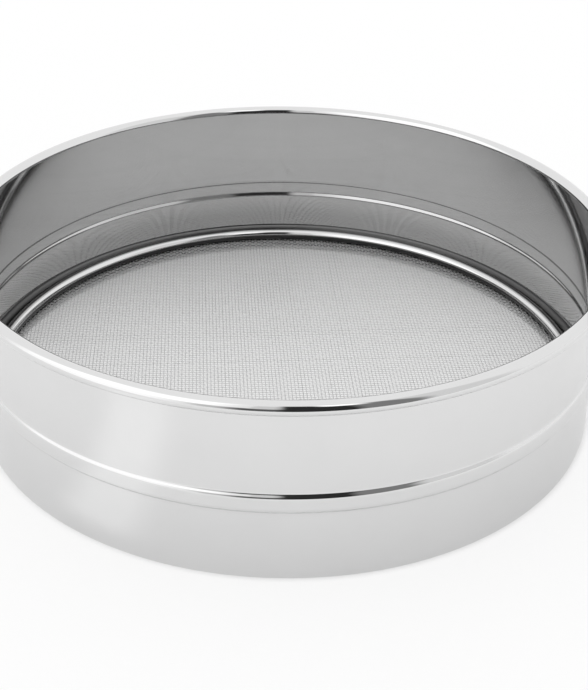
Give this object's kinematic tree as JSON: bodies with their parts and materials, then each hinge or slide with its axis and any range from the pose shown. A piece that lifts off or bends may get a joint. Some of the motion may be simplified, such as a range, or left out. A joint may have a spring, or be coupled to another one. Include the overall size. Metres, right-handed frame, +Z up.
{
  "type": "drum sieve",
  "caption": "Round drum sieve of polished stainless steel: beaded wall with a rolled rim, fine woven wire cloth low down inside, held by a rod and a flanged hoop.",
  "frame": {"origin": "centre of the drum's bottom edge, on the surface that it stands on", "axes": "+Z up along the drum's axis, from the bottom edge to the rolled rim; X and Y lie along the cloth's wires"},
  "size_m": [0.311, 0.311, 0.088],
  "materials": {
    "polished_sheet": "polished",
    "plain_wire": "drawn",
    "polished_rod": "polished",
    "weld_metal": "as welded",
    "woven_wire": "bright drawn",
    "hoop_sheet": "plain rolled"
  },
  "bodies": {
    "root": {"drum_shell": "polished_sheet", "rim_core_wire": "plain_wire", "retaining_rod": "polished_rod", "rod_tack_welds": "weld_metal", "sieve_mesh": "woven_wire", "cloth_support_hoop": "hoop_sheet"}
  },
  "joints": []
}
